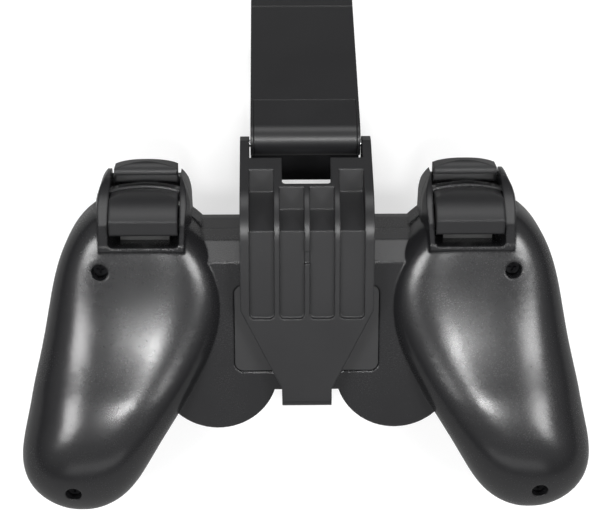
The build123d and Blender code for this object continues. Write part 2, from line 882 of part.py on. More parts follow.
with BuildPart() as trigger:
    with BuildSketch(Plane.YZ.offset(shoulder_x)):
        with BuildLine():
            pull = trigger_pull(0)
            ThreePointArc(*pull)
            Polyline(pull[2], *trigger_back(0), pull[0])
        make_face()
        with Locations((trigger_pivot_y, trigger_pivot_z)):
            Circle(trigger_hub_radius)
    extrude(amount=trigger_width / 2, both=True)
    with BuildSketch(Plane.XY.offset(-30)):
        with BuildLine():
            half = trigger_width / 2
            ThreePointArc((shoulder_x - half, 37.5), (shoulder_x, 39.0), (shoulder_x + half, 37.5))
            Polyline(
                (shoulder_x + half, 37.5),
                (shoulder_x + half, 20),
                (shoulder_x - half, 20),
                (shoulder_x - half, 37.5),
            )
        make_face()
    extrude(amount=60, mode=Mode.INTERSECT)
    with BuildSketch(Plane.YZ.offset(shoulder_x)):
        with BuildLine():
            pull = trigger_pull(trigger_wall)
            ThreePointArc(*pull)
            Polyline(pull[2], *trigger_back(trigger_wall), pull[0])
        make_face()
        with Locations((trigger_pivot_y, trigger_pivot_z)):
            Circle(trigger_hub_radius + 0.6)
        with BuildLine():
            Polyline((31.0, 1.2), (27, 0), (30, -12), (35, -12), (34, -6), close=True)
        make_face()
    extrude(amount=trigger_width / 2 - trigger_wall, both=True, mode=Mode.SUBTRACT)
    with Locations(Plane((shoulder_x, trigger_pivot_y, trigger_pivot_z), z_dir=(1, 0, 0))):
        Cylinder(trigger_pin_radius + 0.1, trigger_width + 2, mode=Mode.SUBTRACT)
both_sides(trigger.part, "trigger")

with BuildPart() as trigger_pin:
    with Locations(Plane((shoulder_x, trigger_pivot_y, trigger_pivot_z), z_dir=(1, 0, 0))):
        Cylinder(trigger_pin_radius, trigger_pin_length)
both_sides(trigger_pin.part, "trigger_pin")

with BuildPart() as trigger_spring:
    with BuildSketch(Plane.YZ.offset(shoulder_x)):
        with Locations((trigger_pivot_y, trigger_pivot_z)):
            Circle(2.1)
            Circle(1.3, mode=Mode.SUBTRACT)
    extrude(amount=3.6, both=True)
both_sides(trigger_spring.part, "trigger_spring")

with BuildPart() as switch_board:
    with BuildSketch(Plane.XZ.offset(-pod_floor_y)):
        with Locations((shoulder_x, -11.6)):
            Rectangle(13.6, 15.6)
    extrude(amount=-1.2)
    with BuildSketch(Plane.XZ.offset(-pod_floor_y - 1.2)):
        with Locations((shoulder_x, -17.0)):
            Rectangle(6.0, 4.6)
        with Locations((shoulder_x, -7.0)):
            Circle(2.5)
    extrude(amount=-2.2)
    with BuildSketch(Plane.XZ.offset(-pod_floor_y - 3.4)):
        with Locations((shoulder_x, -17.4)):
            Circle(1.6)
    extrude(amount=-(38 - 5.6 - bumper_travel - 0.3 - pod_floor_y - 3.4))
both_sides(switch_board.part, "switch_board")

# Bracket: one side view carried across the width, trimmed to its plan, then hollowed and pocketed
slope = math.radians(bracket_slope)
down_slope = (math.cos(slope), -math.sin(slope))
off_slope = (math.sin(slope), math.cos(slope))
bend_end = (
    bracket_bend_y + bracket_bend_radius * math.sin(slope),
    bracket_back_z - bracket_bend_radius * (1 - math.cos(slope)),
)
bend_middle = (
    bracket_bend_y + bracket_bend_radius * math.sin(slope / 2),
    bracket_back_z - bracket_bend_radius * (1 - math.cos(slope / 2)),
)


def on_slope(run, depth):
    """A point run along the bracket's sloping outside from the bend, and depth below it."""
    return (
        bend_end[0] + run * down_slope[0] - depth * off_slope[0],
        bend_end[1] + run * down_slope[1] - depth * off_slope[1],
    )


def run_to(z, depth):
    """How far along the slope a line at that depth reaches the height z."""
    return (z - on_slope(0, depth)[1]) / down_slope[1]


ear_run = 19.4
plate_run = 12.6
hook_low_y = back_low_y - bracket_gap - hook_wall
lip_front_z = face_z - bracket_gap - bracket_lip_wall

with BuildPart() as phone_bracket:
    with BuildSketch(Plane.YZ):
        with BuildLine():
            Polyline(
                (hook_low_y + 3.0, bracket_back_z),
                (bracket_bend_y, bracket_back_z),
            )
            ThreePointArc((bracket_bend_y, bracket_back_z), bend_middle, bend_end)
            Polyline(
                bend_end,
                on_slope(ear_run, 0),
                (pivot_y + ear_radius, pivot_z),
                (pivot_y, pivot_z - ear_radius),
                (40.0, lip_front_z),
                (bracket_lip_y, lip_front_z),
                (bracket_lip_y, face_z - bracket_gap),
                (hook_lip_y, face_z - bracket_gap),
                (hook_lip_y, lip_front_z),
                (hook_low_y + 1.0, lip_front_z),
                (hook_low_y, lip_front_z + 1.0),
                (hook_low_y, bracket_back_z - 3.0),
            )
            ThreePointArc(
                (hook_low_y, bracket_back_z - 3.0),
                (hook_low_y + 0.88, bracket_back_z - 0.88),
                (hook_low_y + 3.0, bracket_back_z),
            )
        make_face()
    extrude(amount=bracket_width / 2, both=True)
    with BuildSketch(Plane.XY.offset(-60)):
        with BuildLine():
            Polyline(
                (bracket_width / 2, 80),
                (bracket_width / 2, taper_top_y),
                (hook_width / 2, taper_low_y),
                (hook_width / 2, -40),
                (-hook_width / 2, -40),
                (-hook_width / 2, taper_low_y),
                (-bracket_width / 2, taper_top_y),
                (-bracket_width / 2, 80),
                close=True,
            )
        make_face()
    extrude(amount=100, mode=Mode.INTERSECT)
    # Room for the pad itself
    with BuildSketch(Plane.YZ):
        with BuildLine():
            Polyline(
                (back_low_y, 0),
                (back_top_y, 0),
                (back_top_y + back_chamfer, -back_chamfer),
                (top_y, face_z + 3),
                (top_y, face_z),
                (back_low_y, face_z),
                close=True,
            )
        make_face()
        offset(amount=bracket_gap, kind=Kind.INTERSECTION)
    extrude(amount=bracket_width, both=True, mode=Mode.SUBTRACT)
    # The hollow behind the plate, open between the ears
    with BuildSketch(Plane.YZ):
        depth = pocket_slope_depth + pocket_floor
        inner_back_z = bracket_back_z - pocket_depth - pocket_floor
        with BuildLine():
            Polyline(
                (taper_top_y, -10),
                (taper_top_y, inner_back_z),
                on_slope(run_to(inner_back_z, depth), depth),
                on_slope(run_to(outer_pocket_end_z - bracket_plate, depth), depth),
                on_slope(run_to(outer_pocket_end_z - bracket_plate, bracket_plate), bracket_plate),
                on_slope(plate_run, bracket_plate),
                on_slope(plate_run, -5),
                (70, -20),
                (70, -60),
                (33.0, -60),
                (33.0, face_z - bracket_gap),
                (20, face_z - bracket_gap),
                (20, -10),
                close=True,
            )
        make_face()
    extrude(amount=bracket_width / 2 - bracket_side, both=True, mode=Mode.SUBTRACT)
    # Four pockets, the outer pair running further up the slope than the inner pair
    pitch = pocket_width + pocket_rib
    for place, end_z in [
        (-1.5, outer_pocket_end_z),
        (-0.5, inner_pocket_end_z),
        (0.5, inner_pocket_end_z),
        (1.5, outer_pocket_end_z),
    ]:
        floor_z = bracket_back_z - pocket_depth
        with BuildSketch(Plane.YZ.offset(place * pitch)):
            with BuildLine():
                corner = on_slope(run_to(floor_z, pocket_slope_depth), pocket_slope_depth)
                Polyline(
                    (pocket_low_y + 2 * pocket_corner, floor_z),
                    corner,
                    on_slope(run_to(end_z, pocket_slope_depth), pocket_slope_depth),
                    on_slope(run_to(end_z, -1), -1),
                    (on_slope(run_to(end_z, -1), -1)[0], 20),
                    (pocket_low_y + 2 * pocket_corner, 20),
                    close=True,
                )
            make_face()
        extrude(amount=pocket_width / 2, both=True, mode=Mode.SUBTRACT)
        with BuildSketch(Plane.XY.offset(floor_z)):
            with Locations((place * pitch, pocket_low_y)):
                RectangleRounded(
                    pocket_width, 4 * pocket_corner, pocket_corner, align=(Align.CENTER, Align.MIN)
                )
        extrude(amount=10, mode=Mode.SUBTRACT)
    with BuildSketch(Plane.XY.offset(floor_z + 0.4)):
        with Locations((0, rib_notch_y)):
            Rectangle(pocket_rib + 0.2, rib_notch_length)
    extrude(amount=10, mode=Mode.SUBTRACT)
    # The notch in the lower edge of the plate, cut square to its slope
    window_run = (window_low_y - bend_end[0]) / down_slope[0]
    with BuildSketch(Plane((0, *on_slope(window_run, -4)), x_dir=(1, 0, 0), z_dir=(0, *off_slope))):
        RectangleRounded(window_width, 24, window_corner, align=(Align.CENTER, Align.MIN))
    extrude(amount=-13, mode=Mode.SUBTRACT)
    with BuildSketch(Plane.YZ):
        with Locations((pivot_y, pivot_z)):
            Circle(ear_radius)
    extrude(amount=bracket_width / 2, both=True)
    with BuildSketch(Plane.YZ):
        with Locations((pivot_y, pivot_z)):
            Circle(barrel_radius + 2.6)
    extrude(amount=bracket_width / 2 - bracket_side, both=True, mode=Mode.SUBTRACT)
    with Locations(Plane((0, pivot_y, pivot_z), z_dir=(1, 0, 0))):
        Cylinder(pin_radius + fit, 2 * bracket_width, mode=Mode.SUBTRACT)
finish(phone_bracket.part, "phone_bracket")

with BuildPart() as bracket_pads:
    with BuildSketch(Plane.XY):
        with Locations((-8, 15), (8, 15)):
            RectangleRounded(11, 8, 1)
    extrude(amount=bracket_back_z - pocket_depth - pocket_floor)
finish(bracket_pads.part, "bracket_pads")

with BuildPart() as hinge_pin:
    with Locations(Plane((0, pivot_y, pivot_z), z_dir=(1, 0, 0))):
        Cylinder(pin_radius, bracket_width)
finish(hinge_pin.part, "hinge_pin")

# Phone holder, drawn in the arm's own frame


def on_arm(part, name):
    """Put a piece of the phone holder in its place on the pad."""
    finish(part.moved(arm_frame.location), name)


def arm_outline(end):
    """Side view of the arm: the barrel round the pin, and the flat plate that leaves it."""
    with Locations((barrel_along, barrel_back)):
        Circle(barrel_radius)
    with Locations((barrel_along, arm_front)):
        Rectangle(end - barrel_along, arm_thickness, align=(Align.MIN, Align.MIN))


with BuildPart() as holder_plate:
    with BuildSketch(Plane.YZ):
        arm_outline(holder_end)
    extrude(amount=arm_width / 2, both=True)
    # The seat for the hinge leaf
    with BuildSketch(Plane.YZ):
        with Locations((barrel_along, barrel_back)):
            Circle(barrel_radius + 1)
        with Locations((barrel_along, arm_back - leaf_wall)):
            Rectangle(leaf_end - barrel_along, 10, align=(Align.MIN, Align.MIN))
    extrude(amount=leaf_width / 2 + fit, both=True, mode=Mode.SUBTRACT)
    # Lower jaw
    with BuildSketch(Plane.YZ):
        with BuildLine():
            jaw_low = barrel_along + 1.0
            Polyline(
                (jaw_low + 5.9, arm_front + 0.5),
                (jaw_low + 5.9, arm_front),
                (jaw_low + jaw_wall, arm_front - 2.4),
                (jaw_low + jaw_wall, arm_front - jaw_reach + jaw_lip_wall),
                (jaw_low + jaw_wall + jaw_lip, arm_front - jaw_reach + 0.6),
                (jaw_low + jaw_wall + jaw_lip - 0.6, arm_front - jaw_reach),
                (jaw_low, arm_front - jaw_reach),
                (jaw_low, arm_front - 3.2),
                (jaw_low + 4.4, arm_front + 0.5),
                close=True,
            )
        make_face()
    extrude(amount=arm_width / 2, both=True)
    # The channel that the jaw's rails and the spring run in, open at the far end
    with BuildSketch(Plane.XZ.offset(-spring_start)):
        with Locations((0, arm_middle)):
            Rectangle(arm_width - 2 * holder_skin - 3, arm_thickness - 2 * holder_skin)
    extrude(amount=-(holder_end), mode=Mode.SUBTRACT)
    with Locations(Plane((0, 0, 0), z_dir=(1, 0, 0))):
        Cylinder(pin_radius + 0.1, 2 * arm_width, mode=Mode.SUBTRACT)
on_arm(holder_plate.part, "holder_plate")

with BuildPart() as hinge_leaf:
    with BuildSketch(Plane.YZ):
        with Locations((barrel_along, barrel_back)):
            Circle(barrel_radius)
        with Locations((barrel_along, arm_back - leaf_wall)):
            Rectangle(leaf_end - barrel_along, leaf_wall, align=(Align.MIN, Align.MIN))
    extrude(amount=leaf_width / 2 - fit, both=True)
    with Locations(Plane((0, 0, 0), z_dir=(1, 0, 0))):
        Cylinder(pin_radius + 0.1, 2 * arm_width, mode=Mode.SUBTRACT)
on_arm(hinge_leaf.part, "hinge_leaf")

with BuildPart() as slide_jaw:
    with BuildSketch(Plane.YZ):
        with BuildLine():
            Polyline(
                (holder_end + 0.2, arm_back),
                (jaw_end - 1.5, arm_back),
                (jaw_end, arm_back - 1.5),
                (jaw_end, arm_front - jaw_reach),
                (jaw_end - jaw_wall - jaw_lip + 0.6, arm_front - jaw_reach),
                (jaw_end - jaw_wall - jaw_lip, arm_front - jaw_reach + 0.6),
                (jaw_end - jaw_wall, arm_front - jaw_reach + jaw_lip_wall),
                (jaw_end - jaw_wall, arm_front - 2.4),
                (jaw_end - jaw_wall - 2.4, arm_front),
                (holder_end + 0.2, arm_front),
                close=True,
            )
        make_face()
    extrude(amount=arm_width / 2, both=True)
    with BuildSketch(Plane.XZ.offset(-(holder_end + 1))):
        with Locations((-rail_x, arm_middle), (rail_x, arm_middle)):
            Rectangle(rail_width, rail_height)
    extrude(amount=rail_length)
    with BuildSketch(Plane.XZ.offset(-rail_start)):
        with Locations((0, arm_middle)):
            Rectangle(2 * rail_x, rail_height)
    extrude(amount=-3)
on_arm(slide_jaw.part, "slide_jaw")

with BuildPart() as clamp_spring:
    with BuildSketch(Plane.XZ.offset(-spring_start)):
        with Locations((0, arm_middle)):
            Circle(1.8)
            Circle(1.1, mode=Mode.SUBTRACT)
    extrude(amount=-spring_length)
on_arm(clamp_spring.part, "clamp_spring")

with BuildPart() as rest_pad:
    with BuildSketch(Plane.XY.offset(arm_front)):
        with Locations((0, (leaf_end + holder_end) / 2)):
            RectangleRounded(arm_width - 6, holder_end - leaf_end - 8, 2)
    extrude(amount=-soft_wall)
on_arm(rest_pad.part, "phone_rest_pad")

for name, place, way in [
    ("lower_jaw_pad", barrel_along + 1.0 + jaw_wall, 1),
    ("upper_jaw_pad", jaw_end - jaw_wall, -1),
]:
    with BuildPart() as jaw_pad:
        with BuildSketch(Plane.XZ.offset(-place)):
            with Locations((0, arm_front - 6.6)):
                RectangleRounded(arm_width - 5, 6.0, 1)
        extrude(amount=-way * soft_wall)
    on_arm(jaw_pad.part, name)

# Stance: the thumbsticks' caps and the end of the upper jaw touch the surface below
cap_rim_y = stick_y - stick_cap_radius + 1.5
cap_rim_z = stick_pivot_z - stick_reach
jaw_tip = arm_frame.from_local_coords((0, jaw_end, arm_front - jaw_reach))
stance_angle = math.degrees(math.atan2(cap_rim_z - jaw_tip.Z, jaw_tip.Y - cap_rim_y))
turned = [piece.moved(Rotation(stance_angle, 0, 0)) for piece in pieces]
box = Compound(children=turned).bounding_box()
stance = Location((-box.center().X, -box.center().Y, -box.min.Z)) * Rotation(stance_angle, 0, 0)

os.makedirs("parts", exist_ok=True)
for piece in pieces:
    export_step(piece.moved(stance), f"parts/{piece.label}.step")
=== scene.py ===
import math

import bpy
import numpy as np
from mathutils import Matrix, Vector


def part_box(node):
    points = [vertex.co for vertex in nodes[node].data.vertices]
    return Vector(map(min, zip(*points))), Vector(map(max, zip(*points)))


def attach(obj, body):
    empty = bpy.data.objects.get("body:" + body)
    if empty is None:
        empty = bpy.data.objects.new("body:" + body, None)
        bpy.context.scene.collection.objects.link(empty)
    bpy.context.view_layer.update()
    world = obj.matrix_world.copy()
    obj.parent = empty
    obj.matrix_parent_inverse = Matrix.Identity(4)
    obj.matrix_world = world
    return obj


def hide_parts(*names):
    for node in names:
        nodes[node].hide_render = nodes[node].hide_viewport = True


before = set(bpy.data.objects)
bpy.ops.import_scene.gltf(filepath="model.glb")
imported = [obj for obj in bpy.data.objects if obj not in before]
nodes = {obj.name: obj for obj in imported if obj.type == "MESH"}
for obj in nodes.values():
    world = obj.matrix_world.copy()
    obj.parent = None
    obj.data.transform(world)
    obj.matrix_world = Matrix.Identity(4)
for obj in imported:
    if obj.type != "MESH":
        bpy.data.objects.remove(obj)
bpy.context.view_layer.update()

# The view of the gamepad
# It lies face down on its two thumbsticks and on the upper jaw of the phone holder, and is seen from
# above its top edge, so that the flat back is square to the camera but for 18 degrees.

look_at = np.array((-0.00185, -0.01397, 0.05584))
towards_camera = np.array((-0.01745, -0.2058, 0.9784))
towards_camera /= np.linalg.norm(towards_camera)
pad_upwards = (0.0, 0.8671, 0.4981)
view_distance = 0.5
focal_length_mm = 109.4
camera_data = bpy.data.cameras.new("camera")
camera_data.lens = focal_length_mm
camera_data.sensor_width = 36.0
camera_data.clip_start = 0.01
camera = bpy.data.objects.new("camera", camera_data)
bpy.context.scene.collection.objects.link(camera)
rightwards = np.cross(pad_upwards, towards_camera)
rightwards /= np.linalg.norm(rightwards)
stance = np.eye(4)
stance[:3, 0] = rightwards
stance[:3, 1] = np.cross(towards_camera, rightwards)
stance[:3, 2] = towards_camera
stance[:3, 3] = look_at + view_distance * towards_camera
camera.matrix_world = Matrix(stance.tolist())
bpy.context.scene.camera = camera

# Housing, front and back halves
# Both halves are moulded in dark charcoal ABS. The tool was spark eroded, which leaves a very fine
# matt grain all over, and the part comes out a little smoother along its edges.


class Reading:
    """A value on a socket. Each operator used on it adds the Math node of that operation."""

    def __init__(self, finish, socket):
        self.finish = finish
        self.socket = socket

    def math(self, operation, first, second):
        return self.finish.node("ShaderNodeMath", {"operation": operation}, {0: first, 1: second})

    def __add__(self, other):
        return self.math("ADD", self, other)

    def __radd__(self, other):
        return self.math("ADD", other, self)

    def __sub__(self, other):
        return self.math("SUBTRACT", self, other)

    def __rsub__(self, other):
        return self.math("SUBTRACT", other, self)

    def __mul__(self, other):
        return self.math("MULTIPLY", self, other)

    def __rmul__(self, other):
        return self.math("MULTIPLY", other, self)

    def __lt__(self, other):
        return self.math("LESS_THAN", self, other)


class Finish:
    """A material with one Principled shader, whose other nodes are added by one method."""

    def __init__(self, name):
        self.material = bpy.data.materials.new(name)
        self.material.use_nodes = True
        self.tree = self.material.node_tree
        self.tree.nodes.clear()
        self.shader = self.tree.nodes.new("ShaderNodeBsdfPrincipled")
        self.surface = self.tree.nodes.new("ShaderNodeOutputMaterial")
        self.tree.links.new(self.shader.outputs[0], self.surface.inputs[0])

    def node(self, kind, settings=None, values=None, output=0):
        """Add a node: its settings first, then the values or links of its sockets."""
        made = self.tree.nodes.new(kind)
        for name, setting in (settings or {}).items():
            setattr(made, name, setting)
        for name, value in (values or {}).items():
            self.give(made.inputs[name], value)
        return Reading(self, made.outputs[output])

    def give(self, socket, value):
        """Link a reading to a socket, or set the socket's own value."""
        if isinstance(value, Reading):
            self.tree.links.new(value.socket, socket)
        else:
            socket.default_value = value

    def set(self, **values):
        """Give the Principled shader its values, by the sockets' names with _ for a space."""
        for name, value in values.items():
            self.give(self.shader.inputs[name.replace("_", " ")], value)

    def place(self):
        """Where a point is on the object, in metres."""
        return self.node("ShaderNodeTexCoord", output="Object")

    def noise(self, size, detail=2.0):
        """Smooth random cloud from 0 to 1, with lumps about that size in metres."""
        return self.node(
            "ShaderNodeTexNoise",
            {"noise_dimensions": "3D"},
            {"Vector": self.place(), "Scale": 1.0 / size, "Detail": detail},
        )

    def between(self, low, high, share):
        """A colour share of the way from low to high."""
        return self.node(
            "ShaderNodeMix",
            {"data_type": "RGBA"},
            {"Factor": share, 6: (*low, 1.0), 7: (*high, 1.0)},
            output=2,
        )

    def bump(self, height, depth, edge=0.0):
        """Normals of a surface that rises by depth where height is 1, its edges rounded, in metres."""
        values = {"Height": height, "Distance": depth, "Strength": 1.0}
        if edge:
            values["Normal"] = self.node("ShaderNodeBevel", {"samples": 6}, {"Radius": edge})
        return self.node("ShaderNodeBump", {}, values)


def moulded(name, dark, light, roughness, grain, depth, edge):
    """Moulded plastic: a grain of that size and depth, slow drifts of colour and gloss, softened edges.

    The colour goes from dark to light by 0.6 of a wide cloud and 0.4 of a narrow one. The roughness goes
    up and down from the given one by 0.10 of the wide cloud and 0.12 of the grain.
    """
    finish = Finish(name)
    drift = finish.noise(0.018, detail=3.0)
    cloud = finish.noise(0.0012)
    pits = finish.noise(grain)
    tone = drift * 0.6 + cloud * 0.4
    finish.set(
        Base_Color=finish.between(dark, light, tone),
        Roughness=roughness + (drift - 0.5) * 0.10 + (pits - 0.5) * 0.12,
        Normal=finish.bump(pits, depth, edge=edge),
    )
    return finish


housing_finish = moulded(
    "charcoal_housing",
    dark=(0.011, 0.011, 0.012),
    light=(0.016, 0.016, 0.017),
    roughness=0.25,
    grain=0.00035,
    depth=0.000001,
    edge=0.0009,
)


def dress(finish, *names):
    """Give CAD nodes this finish in every one of their material slots."""
    for name in names:
        for slot in nodes[name].material_slots:
            slot.material = finish.material


dress(housing_finish, "front_housing", "back_housing")

# Label plate
# A bare plate of thin polycarbonate, stuck into a shallow recess of the back with adhesive film. Its
# surface is more matt than the housing round it.

label_finish = moulded(
    "blank_label",
    dark=(0.015, 0.015, 0.016),
    light=(0.020, 0.020, 0.021),
    roughness=0.42,
    grain=0.00015,
    depth=0.000004,
    edge=0.0002,
)
dress(label_finish, "label_plate")

# Housing screws
# Four self-tapping screws of black-plated steel with cross heads, deep in their counterbores. Their colour is
# darker than plated steel: painted shade for the dark depth of the counterbores.

screw_and_hole_shade_finish = Finish("black_steel_and_painted_hole_shade")
screw_and_hole_shade_finish.set(
    # Near-black colour: black plating plus painted shade for the deep counterbores.
    Base_Color=screw_and_hole_shade_finish.between((0.006, 0.006, 0.007), (0.014, 0.014, 0.015), screw_and_hole_shade_finish.noise(0.0008)),
    Metallic=0.9,
    Roughness=0.42 + screw_and_hole_shade_finish.noise(0.0006) * 0.2,
    Normal=screw_and_hole_shade_finish.bump(screw_and_hole_shade_finish.noise(0.0002), 0.000008, edge=0.0001),
)
dress(screw_and_hole_shade_finish, "housing_screws")

# Circuit boards, cell, charge socket
# The boards are glass-fibre laminate under green solder resist. The cell is a pouch in foil film,
# and the socket is a folded shell of nickel-plated steel.

board_finish = Finish("solder_resist")
cells = board_finish.node(
    "ShaderNodeTexVoronoi", {"feature": "DISTANCE_TO_EDGE"}, {"Vector": board_finish.place(), "Scale": 260.0}
)
tracks = cells < 0.06
board_finish.set(
    Base_Color=board_finish.between((0.02, 0.11, 0.05), (0.01, 0.06, 0.03), tracks),
    Roughness=0.30 + board_finish.noise(0.002) * 0.15,
    Normal=board_finish.bump(tracks, 0.00003),
)
dress(board_finish, "main_circuit_board")

switch_finish = moulded(
    "black_carrier",
    dark=(0.010, 0.010, 0.010),
    light=(0.016, 0.016, 0.016),
    roughness=0.60,
    grain=0.0005,
    depth=0.00001,
    edge=0.0002,
)
dress(switch_finish, "left_switch_board", "right_switch_board")

cell_finish = Finish("foil_film")
cell_finish.set(
    Base_Color=cell_finish.between((0.35, 0.36, 0.38), (0.48, 0.49, 0.50), cell_finish.noise(0.006)),
    Metallic=0.6,
    Roughness=0.32 + cell_finish.noise(0.003) * 0.15,
    Normal=cell_finish.bump(cell_finish.noise(0.004, detail=1.0), 0.0001, edge=0.0004),
)
dress(cell_finish, "battery_cell")

steel_finish = Finish("bright_steel")
steel_finish.set(
    Base_Color=steel_finish.between((0.45, 0.45, 0.46), (0.58, 0.58, 0.58), steel_finish.noise(0.001)),
    Metallic=1.0,
    Roughness=0.22 + steel_finish.noise(0.0004) * 0.2,
    Normal=steel_finish.bump(steel_finish.noise(0.0003), 0.000005, edge=0.00015),
)
dress(
    steel_finish,
    "charge_socket",
    "hinge_pin",
    "left_trigger_pin",
    "right_trigger_pin",
    "left_stick_frame",
    "right_stick_frame",
)

# Dome mats
# Grey silicone rubber sheets on the board, each with hollow domes that lift the buttons again.

mat_finish = moulded(
    "silicone_rubber",
    dark=(0.20, 0.20, 0.21),
    light=(0.28, 0.28, 0.29),
    roughness=0.62,
    grain=0.0004,
    depth=0.00001,
    edge=0.0004,
)
dress(mat_finish, "dpad_dome_mat", "face_dome_mat", "centre_dome_mat")

# Buttons and direction pad
# Hard buttons of gloss-polished black ABS with rounded rims, blank on top.

button_finish = moulded(
    "polished_black",
    dark=(0.014, 0.014, 0.015),
    light=(0.020, 0.020, 0.021),
    roughness=0.20,
    grain=0.0003,
    depth=0.000004,
    edge=0.0005,
)
dress(
    button_finish,
    "outer_face_button",
    "inner_face_button",
    "upper_face_button",
    "lower_face_button",
    "select_button",
    "start_button",
    "home_button",
    "dpad",
)

lens_finish = Finish("smoked_lens")
lens_finish.set(
    Base_Color=lens_finish.between((0.03, 0.03, 0.035), (0.05, 0.05, 0.06), lens_finish.noise(0.002)),
    Roughness=0.08 + lens_finish.noise(0.001) * 0.06,
    Coat_Weight=0.6,
    Normal=lens_finish.bump(lens_finish.noise(0.003), 0.00001, edge=0.0003),
)
dress(lens_finish, "indicator_lens")

# Thumbsticks
# Each cap is soft-touch rubber moulded over a hard core. Its shaft leans in a rocker and a yoke of
# self-lubricating plastic inside a folded steel frame, and a coil spring lifts it again.

stick_finish = moulded(
    "soft_touch_rubber",
    dark=(0.012, 0.012, 0.013),
    light=(0.020, 0.020, 0.021),
    roughness=0.55,
    grain=0.00025,
    depth=0.00002,
    edge=0.0006,
)
out_of_face = np.array((0.0, 0.49814, -0.86710))


def add_piece(name, points, faces, finish, body, node):
    """A smooth mesh piece in place of a CAD node, riding on that node's body."""
    mesh = bpy.data.meshes.new(name)
    mesh.from_pydata(points.tolist(), [], faces)
    mesh.polygons.foreach_set("use_smooth", [True] * len(mesh.polygons))
    mesh.materials.append(finish.material)
    piece = bpy.data.objects.new(name, mesh)
    bpy.context.scene.collection.objects.link(piece)
    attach(piece, body)
    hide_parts(node)


def square_to(axis):
    """Two unit vectors square to an axis and to each other, right-handed with it."""
    first = np.cross((1.0, 0.0, 0.0) if abs(axis[0]) < 0.9 else (0.0, 1.0, 0.0), axis)
    first /= np.linalg.norm(first)
    return first, np.cross(axis, first)


def turned_piece(profile, centre, axis, count, ribs, rib_depth, ribbed):
    """A closed form turned about an axis, from a profile of radius and height whose ends are its poles.

    Point i, j stands up the axis by height i, and out by radius i towards angle j. On the profile's
    points in ribbed, that radius is less by rib_depth times half of one minus the cosine of ribs times
    the angle.
    """
    first, second = square_to(axis)
    angles = np.arange(count) * 2 * math.pi / count
    outwards = np.cos(angles)[:, None] * first + np.sin(angles)[:, None] * second
    radius, height = np.array(profile[1:-1]).T
    rows = len(radius)
    depth = rib_depth * np.isin(np.arange(rows) + 1, list(ribbed))
    reach = radius[:, None] - depth[:, None] * (0.5 - 0.5 * np.cos(ribs * angles))
    rings = centre + height[:, None, None] * axis + reach[:, :, None] * outwards
    poles = [centre + profile[end][1] * axis for end in (0, -1)]
    points = np.vstack([poles[0], rings.reshape(-1, 3), poles[1]])
    here = 1 + np.arange(count)
    after = 1 + (np.arange(count) + 1) % count
    step = count * np.arange(rows - 1)[:, None]
    sides = np.stack([here + step, here + step + count, after + step + count, after + step], axis=-1)
    last = count * (rows - 1)
    first_fan = np.stack([0 * here, here, after], axis=-1)
    last_fan = np.stack([after + last, here + last, 0 * here + 1 + count * rows], axis=-1)
    return points, first_fan.tolist() + sides.reshape(-1, 4).tolist() + last_fan.tolist()


def arc(centre, radius, start, end, count):
    """Points of a profile on a circle, radius times sine and cosine from its centre.

    The angle runs from start to end, in degrees from the height axis.
    """
    angles = np.radians(np.linspace(start, end, count))
    return [(centre[0] + radius * math.sin(t), centre[1] + radius * math.cos(t)) for t in angles]


dish_low = 0.02310
dish_rise = 0.0014
dish = [(0.0, dish_low)]
dish += [(r, dish_low + dish_rise * (r / 0.0078) ** 2) for r in np.linspace(0.001, 0.0074, 9)]
rim = arc((0.0081, 0.0231), 0.0014, -10, 90, 9)
wall = [(0.0095, h) for h in np.linspace(0.0227, 0.0211, 4)]
under = arc((0.0085, 0.0207), 0.0010, 90, 180, 5) + [(0.0060, 0.0196)]
neck = [(0.0046, 0.0190), (0.0042, 0.0180), (0.0042, 0.0135), (0.0044, 0.0116), (0.0052, 0.01025)]
ball = (0.0, 0.0)
dome = arc(ball, 0.0115, 31, 66, 12) + arc(ball, 0.0103, 66, 2, 18) + [(0.0, 0.0103)]
cap_profile = dish + rim + wall + under + neck + dome
# The ribs run over the outside of the rim and down the wall.
ribbed = range(len(dish) + 7, len(dish) + len(rim) + len(wall) + 2)
rib_count = 48
rib_depth = 0.0003
stick_apart = 0.0248
for side, sign in (("left", 1), ("right", -1)):
    pivot = np.array((sign * stick_apart, -0.033758, 0.025447))
    points, faces = turned_piece(cap_profile, pivot, out_of_face, 192, rib_count, rib_depth, ribbed)
    add_piece(f"{side}_ribbed_cap", points, faces, stick_finish, f"{side}_stick", f"{side}_stick_cap")

wire_radius = 0.0003
wire_sides = 8
steps_a_turn = 18
flat_turns = 0.9


def coil(centre, axis, length, radius, turns):
    """A round wire wound into a coil, whose end turns lie flat against their seats.

    The wire's middle goes round the axis at the coil's radius less the wire's. It stays level for
    flat_turns at each end and rises evenly between them. Point i, j is the wire's middle at step i,
    and wire_radius from it towards angle j, out by the cosine and along the axis by the sine.
    """
    first, second = square_to(axis)
    count = int(turns * steps_a_turn)
    wound = np.linspace(0.0, 1.0, count + 1) * turns
    rise = np.clip((wound - flat_turns) / (turns - 2 * flat_turns), 0.0, 1.0)
    middle = (rise - 0.5) * (length - 2 * wire_radius) * 0.999
    angles = wound[:, None] * 2 * math.pi
    outwards = np.cos(angles) * first + np.sin(angles) * second
    section = np.arange(wire_sides) * 2 * math.pi / wire_sides
    across = (radius - wire_radius) + wire_radius * np.cos(section)
    along = middle[:, None] + wire_radius * np.sin(section)
    points = centre + along[:, :, None] * axis + across[:, None] * outwards[:, None, :]
    step = wire_sides * np.arange(count)[:, None]
    here = step + np.arange(wire_sides)
    after = step + (np.arange(wire_sides) + 1) % wire_sides
    sides = np.stack([after, here, here + wire_sides, after + wire_sides], axis=-1)
    start = list(range(wire_sides))
    end = [wire_sides * count + corner for corner in reversed(start)]
    return points.reshape(-1, 3), sides.reshape(-1, 4).tolist() + [start, end]


def spring(node, body, axis, length, radius, turns):
    """A coil spring in place of the plain tube that stands for it in the CAD, about the same middle."""
    low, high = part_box(node)
    points, faces = coil((np.array(low) + np.array(high)) / 2, axis, length, radius, turns)
    add_piece(f"{node}_coil", points, faces, steel_finish, body, node)


